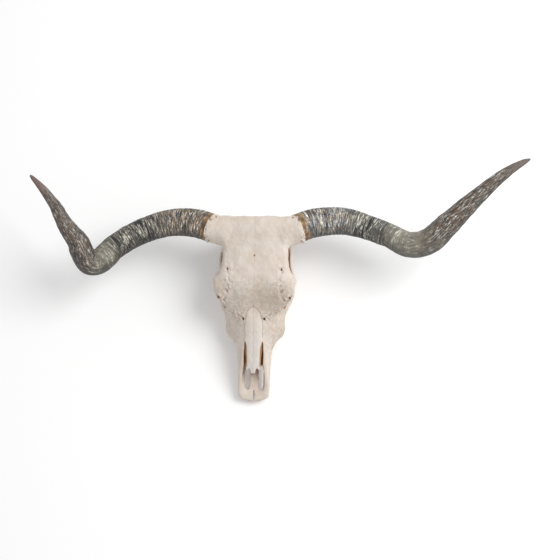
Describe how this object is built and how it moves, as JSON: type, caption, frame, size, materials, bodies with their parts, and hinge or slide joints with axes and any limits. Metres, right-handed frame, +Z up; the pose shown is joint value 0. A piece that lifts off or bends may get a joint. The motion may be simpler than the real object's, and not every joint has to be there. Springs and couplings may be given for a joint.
{
  "type": "longhorn steer skull",
  "caption": "Bleached skull of a longhorn steer with both horn sheaths, no lower jaw, lying forehead up on its cheek teeth and occipital processes",
  "frame": {"origin": "on the floor under the centre of the whole object's footprint, horns included", "axes": "+X across the skull to the animal's own left, the side of the longer horn, +Y from the muzzle towards the poll, +Z up out of the forehead"},
  "size_m": [1.378, 0.6306, 0.3088],
  "materials": {
    "bone": "matt bleached bone, warm ochre in its hollows and sutures",
    "horn": "weathered keratin, grey-brown rings near the skull and lengthwise flakes towards the tip, dull sheen"
  },
  "bodies": {
    "root": {"nasal_left": "bone", "nasal_right": "bone", "frontal_left": "bone", "frontal_right": "bone", "lacrimal_left": "bone", "lacrimal_right": "bone", "zygomatic_left": "bone", "zygomatic_right": "bone", "temporal_left": "bone", "temporal_right": "bone", "premaxilla_left": "bone", "premaxilla_right": "bone", "maxilla_left": "bone", "maxilla_right": "bone", "palatine_left": "bone", "palatine_right": "bone", "pterygoid_left": "bone", "pterygoid_right": "bone", "occipital": "bone", "sphenoid": "bone", "horn_left": "horn", "horn_right": "horn"}
  },
  "joints": []
}
